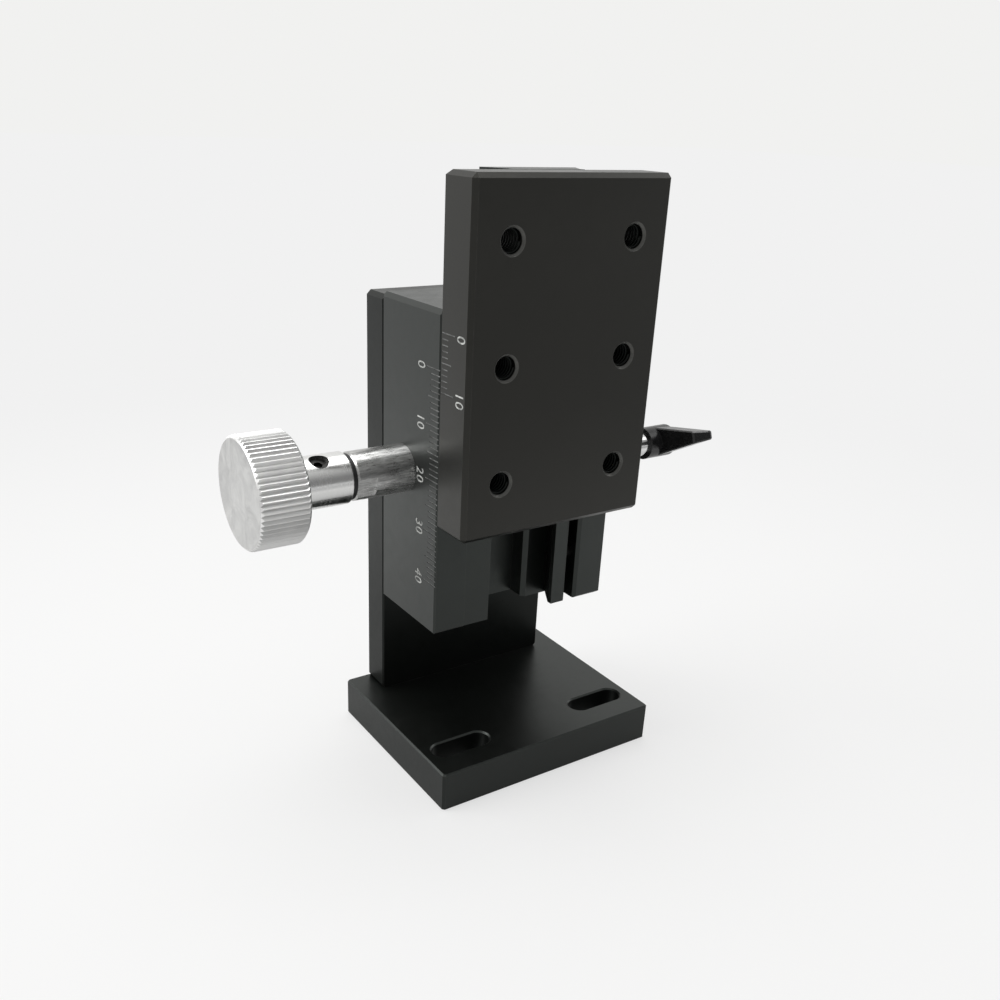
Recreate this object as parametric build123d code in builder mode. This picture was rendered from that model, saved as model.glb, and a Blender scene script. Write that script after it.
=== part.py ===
from build123d import *
import os
from math import atan, cos, floor, pi, radians, sin, sqrt, tan

os.makedirs("parts", exist_ok=True)

# Vertical rack-and-pinion dovetail stage on an L bracket, in millimetres.
# X runs along the table's width, Y runs to the back and Z runs up.
# The origin is the middle of the base plate's underside.

# ---------------------------------------------------------------- driving sizes
# Base plate and riser
base_width = 50.0
base_depth = 40.0
base_thickness = 8.0
base_edge = 0.3
base_corner = 0.5
slot_width = 4.5
slot_travel = 8.0
slot_spacing = 33.2
slot_inset = 7.5
slot_rim = 0.3
riser_thickness = 7.0
riser_edge = 0.8
riser_top_drop = 0.6
seam_edge = 0.3

# Dovetail body
body_width = 40.0
body_depth = 20.0
body_height = 60.0
body_lift = 22.0
body_edge = 0.8
body_bottom_edge = 0.4
body_front_edge = 0.3
land_relief = 0.7
left_land = 6.7
groove_half_width = 7.4
groove_depth = 5.6
dovetail_angle = 60.0
lip_blunt = 0.35
channel_width = 8.6
channel_depth = 9.8
channel_lip = 0.8
gib_back_width = 0.8
gib_edge = 0.35
slit_width = 2.4
wall_edge = 0.6
gib_height_play = 0.3

# Table and slider
table_height = 60.0
table_thickness = 8.3
table_edge = 0.8
table_gap = 0.4
table_hole_across = 25.0
table_hole_rise = 20.0
table_hole_size = 4.0
table_hole_mouth = 4.8
slider_height = 60.0
run_clearance = 0.04
floor_clearance = 0.05

# Travel: the table rests at its upper stop
table_rise = 22.0
travel = 42.5
stop_margin = 0.3

# Rack and pinion
gear_module = 0.5
pinion_teeth = 14
pressure_angle = 20.0
tooth_addendum = 0.42
tooth_dedendum = 0.58
tooth_backlash = 0.10
pinion_depth = 12.0
pinion_height = 29.5
pinion_face = 6.0
rack_width = 6.0
rack_end = 2.4

# Drive shaft, sleeve, bush, washer and knob
shaft_size = 5.0
journal_size = 4.0
journal_length = 7.6
bush_size = 7.0
bush_length = 6.4
sleeve_size = 9.0
sleeve_reach = 11.4
running_fit = 0.05
press_fit = 0.02
sleeve_flat_depth = 0.45
sleeve_flat_length = 3.7
sleeve_flat_angle = 18.0
sleeve_rim = 0.3
washer_thickness = 0.8
washer_size = 8.4
hub_size = 9.5
hub_length = 10.5
hub_rim = 0.35
knob_size = 20.0
knob_length = 9.1
knob_rim = 0.5
knurl_count = 64
knurl_depth = 0.4
shaft_grip = 5.0
knob_screw_size = 3.6
knob_screw_length = 1.2
knob_screw_place = 5.0
knob_screw_angle = 21.0

# Clamp: stud, pad and lever
clamp_depth = 3.4
clamp_thread = 4.0
clamp_pad_size = 3.4
clamp_pad_length = 4.2
stud_size = 5.0
stud_shoulder_gap = 0.4
stud_reach = 10.6
stud_pin_size = 3.0
lever_hub_size = 6.4
lever_hub_length = 7.0
lever_hub_edge = 0.8
lever_arm_length = 12.5
lever_root_width = 6.1
lever_tip_width = 1.7
lever_arm_thickness = 3.6
lever_tip_thickness = 0.9
lever_bevel_length = 1.9
lever_arm_lean = 10.0
lever_arm_angle = 19.0
lever_arm_set = 3.9
lever_arm_edge = 0.25
lever_screw_size = 2.0
lever_screw_head = 3.6
lever_screw_head_height = 1.3

# Scales cut into the left faces
scale_length = 40.0
scale_step = 1.0
scale_top_inset = 10.0
tick_width = 0.22
tick_depth = 0.12
body_tick_short = 2.9
body_tick_mid = 3.8
body_tick_long = 4.4
index_scale_length = 10.0
table_tick_short = 2.0
table_tick_mid = 3.1
table_tick_long = 4.0

# Fasteners
hole_clearance = 0.2
thread_clearance = 0.05
key_share = 0.5
base_screw_size = 3.0
base_screw_head = 5.5
base_screw_head_height = 3.0
base_screw_spacing = 24.0
base_screw_grip = 9.0
base_screw_inset = 4.2
counterbore_clearance = 0.25
head_recess = 0.4
dowel_size = 3.0
dowel_spacing = 34.0
dowel_length = 10.0
dowel_grip = 5.0
riser_screw_size = 3.0
riser_screw_head = 5.5
riser_screw_head_height = 3.0
riser_screw_across = 28.0
riser_screw_rise = 44.0
riser_screw_grip = 7.0
lock_screw_size = 3.0
lock_screw_length = 2.8
lock_screw_inset = 6.0
lock_access_size = 4.0
gib_screw_size = 3.0
gib_screw_length = 7.6
gib_screw_rise = 40.0
slider_screw_size = 2.5
slider_screw_head = 4.5
slider_screw_head_height = 2.4
slider_screw_across = 11.0
slider_screw_rise = 42.0
slider_screw_grip = 5.0
rack_screw_size = 2.0
rack_screw_head = 3.8
rack_screw_head_height = 2.0
rack_screw_sink = 1.2
rack_screw_grip = 4.0

# ---------------------------------------------------------------- derived places
riser_width = body_width
table_width = body_width
main_divisions = round(scale_length / scale_step)
index_divisions = round(index_scale_length / scale_step)

base_back = base_depth / 2
riser_front = base_back - riser_thickness
body_back = riser_front
body_front = body_back - body_depth
body_bottom = base_thickness + body_lift
body_top = body_bottom + body_height
riser_top = body_top - riser_top_drop
body_middle = body_bottom + body_height / 2
body_left = -body_width / 2
body_right = body_width / 2

land_y = body_front + land_relief
floor_y = body_front + groove_depth
channel_y = body_front + channel_depth
lip_y = land_y + lip_blunt
flank_run = (floor_y - lip_y) / tan(radians(dovetail_angle))
groove_back_half = groove_half_width + flank_run
gib_right = groove_back_half + gib_back_width
wall_left = gib_right + slit_width
relief_left = body_left + left_land

table_back = body_front - table_gap
table_front = table_back - table_thickness
table_middle = body_bottom + pinion_height + table_rise
table_bottom = table_middle - table_height / 2
slider_back = floor_y - floor_clearance
slider_side_gap = run_clearance / sin(radians(dovetail_angle))

pinion_y = body_front + pinion_depth
pinion_z = body_bottom + pinion_height
pitch_radius = gear_module * pinion_teeth / 2
pinion_tip_radius = pitch_radius + tooth_addendum
pinion_root_radius = pitch_radius - tooth_dedendum
tooth_pitch = pi * gear_module
rack_pitch_y = pinion_y - pitch_radius
rack_tip_y = rack_pitch_y + tooth_addendum
rack_root_y = rack_pitch_y - tooth_dedendum

rack_head_top_y = rack_root_y - rack_screw_sink + rack_screw_head_height
head_bite = pinion_y - rack_head_top_y
stop_reach = sqrt(pinion_tip_radius**2 - head_bite**2) + rack_screw_head / 2 + stop_margin
lower_rack_screw_z = pinion_z - stop_reach
upper_rack_screw_z = pinion_z + travel + stop_reach
rack_bottom = lower_rack_screw_z - rack_end
rack_top = upper_rack_screw_z + rack_end
rack_teeth_bottom = lower_rack_screw_z + rack_screw_head / 2 + counterbore_clearance
rack_teeth_top = upper_rack_screw_z - rack_screw_head / 2 - counterbore_clearance

sleeve_outer_end = body_left - sleeve_reach
sleeve_inner_end = -channel_width / 2
washer_left = sleeve_outer_end - washer_thickness
hub_left = washer_left - hub_length
knob_left = hub_left - knob_length
bush_right = channel_width / 2 + bush_length
shaft_left = hub_left - shaft_grip

clamp_y = body_front + clamp_depth
clamp_z = pinion_z
pad_right = gib_right + clamp_pad_length
stud_shoulder = body_right + stud_shoulder_gap
stud_end = body_right + stud_reach
lever_end = stud_end + lever_hub_length

# Planes used again and again
pinion_axis_at = Plane(origin=(0, pinion_y, pinion_z), x_dir=(0, 1, 0), z_dir=(1, 0, 0))
clamp_axis_at = Plane(origin=(0, clamp_y, clamp_z), x_dir=(0, 1, 0), z_dir=(1, 0, 0))
body_back_face = Plane(origin=(0, body_back, body_middle), x_dir=(1, 0, 0), z_dir=(0, -1, 0))
riser_back_face = Plane(origin=(0, base_back, body_middle), x_dir=(1, 0, 0), z_dir=(0, -1, 0))


def finish(part, name):
    """Label one sub-part and write it."""
    part.label = name
    export_step(part, f"parts/{name}.step")


def socket_screw(place, size, head, head_height, length):
    """A socket head cap screw: its head's outer face is on the plane, its shank runs along +Z."""
    with BuildPart() as screw:
        with BuildSketch(place):
            Circle(head / 2)
        extrude(amount=head_height)
        head_rim = screw.edges().filter_by(GeomType.CIRCLE).sort_by(
            lambda edge: (edge.center() - place.origin).dot(place.z_dir))[0]
        chamfer(head_rim, head_height * 0.08)
        with BuildSketch(place):
            RegularPolygon(size * key_share, 6)
        extrude(amount=head_height * 0.55, mode=Mode.SUBTRACT)
        with BuildSketch(place.offset(head_height)):
            Circle(size / 2 - thread_clearance)
        extrude(amount=length)
    return screw.part


def grub_screw(place, size, length):
    """A headless set screw with a hexagon socket at the plane's origin."""
    with BuildPart() as screw:
        with BuildSketch(place):
            Circle(size / 2 - thread_clearance)
        extrude(amount=length)
        with BuildSketch(place):
            RegularPolygon(size * key_share / 2, 6)
        extrude(amount=length * 0.5, mode=Mode.SUBTRACT)
    return screw.part


def spots(across, rise):
    """Four places on a rectangle."""
    return [(x, z) for x in (-across / 2, across / 2) for z in (-rise / 2, rise / 2)]


# ---------------------------------------------------------------- base plate
slot_y = -base_depth / 2 + slot_inset
screw_y = base_back - base_screw_inset
with BuildPart() as base_plate:
    with BuildSketch():
        Rectangle(base_width, base_depth)
        chamfer(vertices(), base_corner)
    extrude(amount=base_thickness)
    top_rim = faces().sort_by(Axis.Z)[-1].edges()
    bottom_rim = faces().sort_by(Axis.Z)[0].edges()
    chamfer(top_rim + bottom_rim, base_edge)
    # Two mounting slots near the front edge, with a lit rim at the top
    with BuildSketch(Plane.XY):
        with Locations((-slot_spacing / 2, slot_y), (slot_spacing / 2, slot_y)):
            SlotCenterToCenter(slot_travel, slot_width)
    extrude(amount=base_thickness, mode=Mode.SUBTRACT)
    for side in (-1, 1):
        with BuildSketch(Plane.XY.offset(base_thickness)):
            with Locations((side * slot_spacing / 2, slot_y)):
                SlotCenterToCenter(slot_travel, slot_width + 2 * slot_rim)
        extrude(amount=-slot_rim, taper=45, mode=Mode.SUBTRACT)
    # Counterbored holes and dowel holes under the riser
    with BuildSketch(Plane.XY):
        with Locations((-base_screw_spacing / 2, screw_y), (base_screw_spacing / 2, screw_y)):
            Circle(base_screw_size / 2 + hole_clearance)
    extrude(amount=base_thickness, mode=Mode.SUBTRACT)
    with BuildSketch(Plane.XY):
        with Locations((-base_screw_spacing / 2, screw_y), (base_screw_spacing / 2, screw_y)):
            Circle(base_screw_head / 2 + counterbore_clearance)
    extrude(amount=base_screw_head_height + head_recess, mode=Mode.SUBTRACT)
    with BuildSketch(Plane.XY.offset(base_thickness)):
        with Locations((-dowel_spacing / 2, screw_y), (dowel_spacing / 2, screw_y)):
            Circle(dowel_size / 2)
    extrude(amount=-dowel_grip, mode=Mode.SUBTRACT)
finish(base_plate.part, "base_plate")

# ---------------------------------------------------------------- riser plate
with BuildPart() as riser_plate:
    with BuildSketch(Plane.XY.offset(base_thickness)):
        with Locations((0, (riser_front + base_back) / 2)):
            Rectangle(riser_width, riser_thickness)
    extrude(amount=riser_top - base_thickness)
    top_back = edges().filter_by(Axis.X).group_by(Axis.Z)[-1].sort_by(Axis.Y)[-1]
    top_sides = edges().filter_by(Axis.Y).group_by(Axis.Z)[-1]
    bottom_sides = edges().filter_by(Axis.Y).group_by(Axis.Z)[0]
    back_edges = edges().filter_by(Axis.Z).sort_by(Axis.Y)[-2:]
    chamfer(back_edges + top_sides + bottom_sides + [top_back], riser_edge)
    chamfer(edges().filter_by(Axis.Z).group_by(Axis.Y)[0], seam_edge)
    # Tapped holes and dowel holes in the foot
    with BuildSketch(Plane.XY.offset(base_thickness)):
        with Locations((-base_screw_spacing / 2, screw_y), (base_screw_spacing / 2, screw_y)):
            Circle(base_screw_size / 2)
    extrude(amount=base_screw_grip + head_recess, mode=Mode.SUBTRACT)
    with BuildSketch(Plane.XY.offset(base_thickness)):
        with Locations((-dowel_spacing / 2, screw_y), (dowel_spacing / 2, screw_y)):
            Circle(dowel_size / 2)
    extrude(amount=dowel_length - dowel_grip, mode=Mode.SUBTRACT)
    # Counterbored holes that hold the body, and the way in to the sleeve's lock screw
    with BuildSketch(riser_back_face):
        with Locations(*spots(riser_screw_across, riser_screw_rise)):
            Circle(riser_screw_size / 2 + hole_clearance)
    extrude(amount=riser_thickness, mode=Mode.SUBTRACT)
    with BuildSketch(riser_back_face):
        with Locations(*spots(riser_screw_across, riser_screw_rise)):
            Circle(riser_screw_head / 2 + counterbore_clearance)
    extrude(amount=riser_screw_head_height + head_recess, mode=Mode.SUBTRACT)
    with BuildSketch(riser_back_face):
        with Locations((body_left + lock_screw_inset, pinion_z - body_middle)):
            Circle(lock_access_size / 2)
    extrude(amount=riser_thickness, mode=Mode.SUBTRACT)
finish(riser_plate.part, "riser_plate")

# ---------------------------------------------------------------- dovetail body
with BuildPart() as stage_body:
    with BuildSketch(Plane.XY.offset(body_bottom)):
        with Locations((0, (body_front + body_back) / 2)):
            Rectangle(body_width, body_depth)
    extrude(amount=body_height)
    end_rims = faces().filter_by(Axis.Z).edges()
    back_rims = end_rims.filter_by(Axis.X).sort_by(Axis.Y)[-2:]
    front_rims = [edge for edge in end_rims if edge not in back_rims]
    chamfer([edge for edge in front_rims if edge.center().Z > body_middle], body_edge)
    chamfer([edge for edge in front_rims if edge.center().Z < body_middle], body_bottom_edge)
    chamfer(edges().filter_by(Axis.Z).group_by(Axis.Y)[0], body_front_edge)
    chamfer(edges().filter_by(Axis.Z).group_by(Axis.Y)[-1], seam_edge)
    # Relieved land and dovetail on the left, square pocket for the gib on the right
    with BuildSketch(Plane.XY.offset(body_bottom)):
        with BuildLine():
            Polyline(
                (relief_left, body_front - land_relief),
                (relief_left, land_y),
                (-groove_half_width, land_y),
                (-groove_half_width, lip_y),
                (-groove_back_half, floor_y),
                (-channel_width / 2 - channel_lip, floor_y),
                (-channel_width / 2, floor_y + channel_lip),
                (-channel_width / 2, channel_y),
                (channel_width / 2, channel_y),
                (channel_width / 2, floor_y + channel_lip),
                (channel_width / 2 + channel_lip, floor_y),
                (wall_left, floor_y),
                (wall_left, body_front + wall_edge),
                (wall_left + wall_edge, body_front),
                (wall_left + wall_edge, body_front - land_relief),
                close=True,
            )
        make_face()
    extrude(amount=body_height, mode=Mode.SUBTRACT)
    # Bore for the sleeve from the left, and the bush's bore beyond the channel
    with BuildSketch(pinion_axis_at.offset(body_left)):
        Circle(sleeve_size / 2)
    extrude(amount=channel_width / 2 - body_left, mode=Mode.SUBTRACT)
    with BuildSketch(pinion_axis_at):
        Circle(bush_size / 2)
    extrude(amount=bush_right, mode=Mode.SUBTRACT)
    # Tapped holes at the back for the riser's screws and for the sleeve's lock screw
    with BuildSketch(body_back_face):
        with Locations(*spots(riser_screw_across, riser_screw_rise)):
            Circle(riser_screw_size / 2)
    extrude(amount=riser_screw_grip + head_recess, mode=Mode.SUBTRACT)
    with BuildSketch(body_back_face):
        with Locations((body_left + lock_screw_inset, pinion_z - body_middle)):
            Circle(lock_screw_size / 2)
    extrude(amount=body_back - pinion_y, mode=Mode.SUBTRACT)
    # Tapped holes through the right wall for the gib screws and the clamp stud
    with BuildSketch(clamp_axis_at.offset(wall_left)):
        with Locations((0, -gib_screw_rise / 2), (0, gib_screw_rise / 2)):
            Circle(gib_screw_size / 2)
    extrude(amount=body_right - wall_left, mode=Mode.SUBTRACT)
    with BuildSketch(clamp_axis_at.offset(wall_left)):
        Circle(clamp_thread / 2)
    extrude(amount=body_right - wall_left, mode=Mode.SUBTRACT)
    # Main scale, one tick each millimetre, read downwards
    for mark in range(main_divisions + 1):
        length = body_tick_short
        if mark % 5 == 0:
            length = body_tick_mid
        if mark % 10 == 0:
            length = body_tick_long
        tick_z = body_top - scale_top_inset - mark * scale_step
        with Locations((body_left, body_front, tick_z)):
            Box(2 * tick_depth, 2 * length, tick_width, mode=Mode.SUBTRACT)
finish(stage_body.part, "stage_body")

# ---------------------------------------------------------------- gib strip
with BuildPart() as gib_strip:
    with BuildSketch(Plane.XY.offset(body_bottom + gib_height_play / 2)):
        with BuildLine():
            Polyline(
                (groove_half_width, body_front),
                (groove_half_width, lip_y),
                (groove_back_half, floor_y),
                (gib_right, floor_y),
                (gib_right, body_front + gib_edge),
                (gib_right - gib_edge, body_front),
                close=True,
            )
        make_face()
    extrude(amount=body_height - gib_height_play)
finish(gib_strip.part, "gib_strip")

# ---------------------------------------------------------------- moving table
table_holes = [
    (x, z)
    for x in (-table_hole_across / 2, table_hole_across / 2)
    for z in (-table_hole_rise, 0, table_hole_rise)
]
table_front_face = Plane(origin=(0, table_front, table_middle), x_dir=(1, 0, 0), z_dir=(0, -1, 0))
table_back_face = Plane(origin=(0, table_back, table_middle), x_dir=(1, 0, 0), z_dir=(0, -1, 0))
with BuildPart() as table_plate:
    with BuildSketch(Plane.XY.offset(table_bottom)):
        with Locations((0, (table_front + table_back) / 2)):
            Rectangle(table_width, table_thickness)
    extrude(amount=table_height)
    table_rims = faces().sort_by(Axis.Y)[0].edges()
    table_side_rims = edges().filter_by(Axis.Y)
    table_back_rims = faces().sort_by(Axis.Y)[-1].edges().filter_by(Axis.X)
    chamfer(table_rims + table_side_rims + table_back_rims, table_edge)
    # Six tapped holes with countersunk mouths
    with Locations(table_front_face):
        with Locations(*table_holes):
            CounterSinkHole(
                radius=table_hole_size / 2,
                counter_sink_radius=table_hole_mouth / 2,
                depth=table_thickness + table_edge,
            )
    # Blind tapped holes for the slider's screws
    with BuildSketch(table_back_face):
        with Locations(*spots(slider_screw_across, slider_screw_rise)):
            Circle(slider_screw_size / 2)
    extrude(amount=slider_screw_grip + head_recess, mode=Mode.SUBTRACT)
    # Index scale at the back of the left face
    for mark in range(index_divisions + 1):
        length = table_tick_short
        if mark % 5 == 0:
            length = table_tick_mid
        if mark % 10 == 0:
            length = table_tick_long
        tick_z = table_middle + index_scale_length / 2 - mark * scale_step
        with Locations((-table_width / 2, table_back, tick_z)):
            Box(2 * tick_depth, 2 * length, tick_width, mode=Mode.SUBTRACT)
finish(table_plate.part, "table_plate")

# ---------------------------------------------------------------- dovetail slider
neck_half = groove_half_width - slider_side_gap
back_half = neck_half + flank_run * (slider_back - lip_y) / (floor_y - lip_y)
slider_back_face = Plane(origin=(0, slider_back, table_middle), x_dir=(1, 0, 0), z_dir=(0, -1, 0))
with BuildPart() as dovetail_slider:
    with BuildSketch(Plane.XY.offset(table_middle - slider_height / 2)):
        with BuildLine():
            Polyline(
                (-neck_half, table_back),
                (-neck_half, lip_y),
                (-back_half, slider_back),
                (back_half, slider_back),
                (neck_half, lip_y),
                (neck_half, table_back),
                close=True,
            )
        make_face()
    extrude(amount=slider_height)
    with BuildSketch(slider_back_face):
        with Locations(*spots(slider_screw_across, slider_screw_rise)):
            Circle(slider_screw_size / 2 + hole_clearance)
    extrude(amount=slider_back - table_back, mode=Mode.SUBTRACT)
    with BuildSketch(slider_back_face):
        with Locations(*spots(slider_screw_across, slider_screw_rise)):
            Circle(slider_screw_head / 2 + counterbore_clearance)
    extrude(amount=slider_screw_head_height + head_recess, mode=Mode.SUBTRACT)
    with BuildSketch(slider_back_face):
        with Locations(
            (0, lower_rack_screw_z - table_middle), (0, upper_rack_screw_z - table_middle)
        ):
            Circle(rack_screw_size / 2)
    extrude(amount=rack_screw_grip + head_recess, mode=Mode.SUBTRACT)
finish(dovetail_slider.part, "dovetail_slider")

# ---------------------------------------------------------------- rack
flank_slope = tan(radians(pressure_angle))
gap_half = tooth_pitch / 4 + tooth_backlash / 4
gap_tip_half = gap_half + tooth_addendum * flank_slope
gap_root_half = gap_half - tooth_dedendum * flank_slope
rack_side = Plane(origin=(-rack_width / 2, 0, 0), x_dir=(0, 1, 0), z_dir=(1, 0, 0))
rack_back_face = Plane(origin=(0, rack_root_y, 0), x_dir=(1, 0, 0), z_dir=(0, -1, 0))
with BuildPart() as rack:
    with BuildSketch(rack_side):
        with BuildLine():
            Polyline(
                (slider_back, rack_bottom),
                (slider_back, rack_top),
                (rack_root_y, rack_top),
                (rack_root_y, rack_teeth_top),
                (rack_tip_y, rack_teeth_top),
                (rack_tip_y, rack_teeth_bottom),
                (rack_root_y, rack_teeth_bottom),
                (rack_root_y, rack_bottom),
                close=True,
            )
        make_face()
        # Tooth gaps, one of them level with the pinion
        first_gap = -floor((pinion_z - rack_teeth_bottom) / tooth_pitch) - 1
        last_gap = floor((rack_teeth_top - pinion_z) / tooth_pitch) + 1
        for gap in range(first_gap, last_gap + 1):
            gap_z = pinion_z + (gap + 0.5) * tooth_pitch
            with BuildLine():
                Polyline(
                    (rack_tip_y, gap_z - gap_tip_half),
                    (rack_root_y, gap_z - gap_root_half),
                    (rack_root_y, gap_z + gap_root_half),
                    (rack_tip_y, gap_z + gap_tip_half),
                    close=True,
                )
            make_face(mode=Mode.SUBTRACT)
    extrude(amount=rack_width)
    with BuildSketch(rack_back_face):
        with Locations((0, lower_rack_screw_z), (0, upper_rack_screw_z)):
            Circle(rack_screw_size / 2 + hole_clearance)
    extrude(amount=rack_root_y - slider_back, mode=Mode.SUBTRACT)
    with BuildSketch(rack_back_face):
        with Locations((0, lower_rack_screw_z), (0, upper_rack_screw_z)):
            Circle(rack_screw_head / 2 + counterbore_clearance)
    extrude(amount=rack_screw_sink, mode=Mode.SUBTRACT)
finish(rack.part, "rack")


# ---------------------------------------------------------------- pinion shaft
base_radius = pitch_radius * cos(radians(pressure_angle))
pitch_roll = tan(radians(pressure_angle)) - radians(pressure_angle)
tooth_half_angle = (tooth_pitch - tooth_backlash) / (4 * pitch_radius) + pitch_roll
flank_steps = 4


def flank_turn(radius):
    """Half the angle that a tooth takes up at a radius outside the base circle."""
    roll = sqrt(max(radius**2 / base_radius**2 - 1, 0))
    return tooth_half_angle - (roll - atan(roll))


def at_polar(radius, angle):
    """A point from its radius and angle."""
    return radius * cos(angle), radius * sin(angle)


def pinion_outline():
    """All teeth, one after the other, with a gap facing the rack."""
    points = []
    for tooth in range(pinion_teeth):
        middle = pi + (tooth + 0.5) * 2 * pi / pinion_teeth
        radii = [
            base_radius + (pinion_tip_radius - base_radius) * step / flank_steps
            for step in range(flank_steps + 1)
        ]
        points.append(at_polar(pinion_root_radius, middle - tooth_half_angle))
        points += [at_polar(radius, middle - flank_turn(radius)) for radius in radii]
        points += [at_polar(radius, middle + flank_turn(radius)) for radius in reversed(radii)]
        points.append(at_polar(pinion_root_radius, middle + tooth_half_angle))
    return points


with BuildPart() as pinion_shaft:
    with BuildSketch(pinion_axis_at.offset(-pinion_face / 2)):
        with BuildLine():
            Polyline(*pinion_outline(), close=True)
        make_face()
    extrude(amount=pinion_face)
    with BuildSketch(pinion_axis_at.offset(shaft_left)):
        Circle(shaft_size / 2)
    extrude(amount=-shaft_left)
    with BuildSketch(pinion_axis_at):
        Circle(journal_size / 2)
    extrude(amount=pinion_face / 2 + journal_length)
finish(pinion_shaft.part, "pinion_shaft")

# ---------------------------------------------------------------- bearing sleeve and bush
flat_reach = sleeve_size / 2 - sleeve_flat_depth
with BuildPart() as bearing_sleeve:
    with BuildSketch(pinion_axis_at.offset(sleeve_outer_end)):
        Circle(sleeve_size / 2 - press_fit)
    extrude(amount=sleeve_inner_end - sleeve_outer_end)
    chamfer(edges().filter_by(GeomType.CIRCLE).sort_by(Axis.X)[0], sleeve_rim)
    with BuildSketch(pinion_axis_at.offset(sleeve_outer_end)):
        Circle(shaft_size / 2 + running_fit)
    extrude(amount=sleeve_inner_end - sleeve_outer_end, mode=Mode.SUBTRACT)
    # Two wrench flats at the outer end
    for side in (0, 180):
        turn = radians(side + sleeve_flat_angle)
        flat_plane = Plane(
            origin=(sleeve_outer_end, pinion_y, pinion_z),
            x_dir=(0, cos(turn), sin(turn)),
            z_dir=(1, 0, 0),
        )
        with BuildSketch(flat_plane):
            with Locations((flat_reach + sleeve_flat_depth, 0)):
                Rectangle(2 * sleeve_flat_depth, sleeve_size)
        extrude(amount=sleeve_flat_length, mode=Mode.SUBTRACT)
finish(bearing_sleeve.part, "bearing_sleeve")

with BuildPart() as bearing_bush:
    with BuildSketch(pinion_axis_at.offset(channel_width / 2)):
        Circle(bush_size / 2 - press_fit)
        Circle(journal_size / 2 + running_fit, mode=Mode.SUBTRACT)
    extrude(amount=bush_length)
finish(bearing_bush.part, "bearing_bush")

with BuildPart() as drag_washer:
    with BuildSketch(pinion_axis_at.offset(washer_left)):
        Circle(washer_size / 2)
        Circle(shaft_size / 2 + running_fit, mode=Mode.SUBTRACT)
    extrude(amount=washer_thickness)
finish(drag_washer.part, "drag_washer")

# ---------------------------------------------------------------- drive knob
knob_radius = knob_size / 2
hub_radius = hub_size / 2
knob_screw_tilt = 90 + knob_screw_angle
knob_screw_hole = pinion_axis_at.offset(hub_left + knob_screw_place)
knob_screw_axis = Plane(
    origin=knob_screw_hole.origin,
    x_dir=(1, 0, 0),
    z_dir=(0, cos(radians(knob_screw_tilt)), sin(radians(knob_screw_tilt))),
)
with BuildPart() as drive_knob:
    # Turned blank, knurled rim to the left and hub to the right
    with BuildSketch(Plane(origin=(0, pinion_y, pinion_z), x_dir=(1, 0, 0), z_dir=(0, -1, 0))):
        with BuildLine():
            Polyline(
                (knob_left, 0),
                (knob_left, knob_radius - knob_rim),
                (knob_left + knob_rim, knob_radius),
                (hub_left - knob_rim, knob_radius),
                (hub_left, knob_radius - knob_rim),
                (hub_left, hub_radius),
                (washer_left - hub_rim, hub_radius),
                (washer_left, hub_radius - hub_rim),
                (washer_left, 0),
                close=True,
            )
        make_face()
    revolve(axis=Axis((0, pinion_y, pinion_z), (1, 0, 0)))
    # Straight knurl: one V groove a pitch
    groove_half = pi * knob_radius / knurl_count
    with BuildSketch(pinion_axis_at.offset(knob_left)):
        with PolarLocations(0, knurl_count):
            Polygon(
                (knob_radius - knurl_depth, 0),
                (knob_radius + knurl_depth / 4, groove_half * 1.1),
                (knob_radius + knurl_depth / 4, -groove_half * 1.1),
                align=None,
            )
    extrude(amount=knob_length, mode=Mode.SUBTRACT)
    # Blind bore for the shaft, and the set screw's tapped hole
    with BuildSketch(pinion_axis_at.offset(shaft_left)):
        Circle(shaft_size / 2 + press_fit)
    extrude(amount=washer_left - shaft_left, mode=Mode.SUBTRACT)
    with BuildSketch(knob_screw_axis):
        Circle(knob_screw_size / 2)
    extrude(amount=hub_size, mode=Mode.SUBTRACT)
finish(drive_knob.part, "drive_knob")

screw_seat_plane = knob_screw_axis.offset(shaft_size / 2 + press_fit + knob_screw_length)
knob_screw_place_out = Plane(
    origin=screw_seat_plane.origin,
    x_dir=(1, 0, 0),
    z_dir=-knob_screw_axis.z_dir,
)
finish(grub_screw(knob_screw_place_out, knob_screw_size, knob_screw_length), "knob_set_screw")

# ---------------------------------------------------------------- clamp
with BuildPart() as clamp_pad:
    with BuildSketch(clamp_axis_at.offset(gib_right)):
        Circle(clamp_pad_size / 2)
    extrude(amount=clamp_pad_length)
finish(clamp_pad.part, "clamp_pad")

stud_pin_length = lever_hub_length - lever_screw_head_height - lever_screw_head / 4
with BuildPart() as clamp_stud:
    with BuildSketch(clamp_axis_at.offset(pad_right)):
        Circle(clamp_thread / 2 - thread_clearance)
    extrude(amount=stud_shoulder - pad_right)
    with BuildSketch(clamp_axis_at.offset(stud_shoulder)):
        Circle(stud_size / 2)
    extrude(amount=stud_end - stud_shoulder)
    shoulder_rim = edges().filter_by(GeomType.CIRCLE).sort_by(SortBy.LENGTH)[-2:]
    chamfer(shoulder_rim.sort_by(Axis.X)[0], stud_size * 0.06)
    with BuildSketch(clamp_axis_at.offset(stud_end)):
        Circle(stud_pin_size / 2)
    extrude(amount=stud_pin_length)
    with BuildSketch(clamp_axis_at.offset(stud_end)):
        Circle(lever_screw_size / 2)
    extrude(amount=stud_pin_length, mode=Mode.SUBTRACT)
finish(clamp_stud.part, "clamp_stud")

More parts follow.
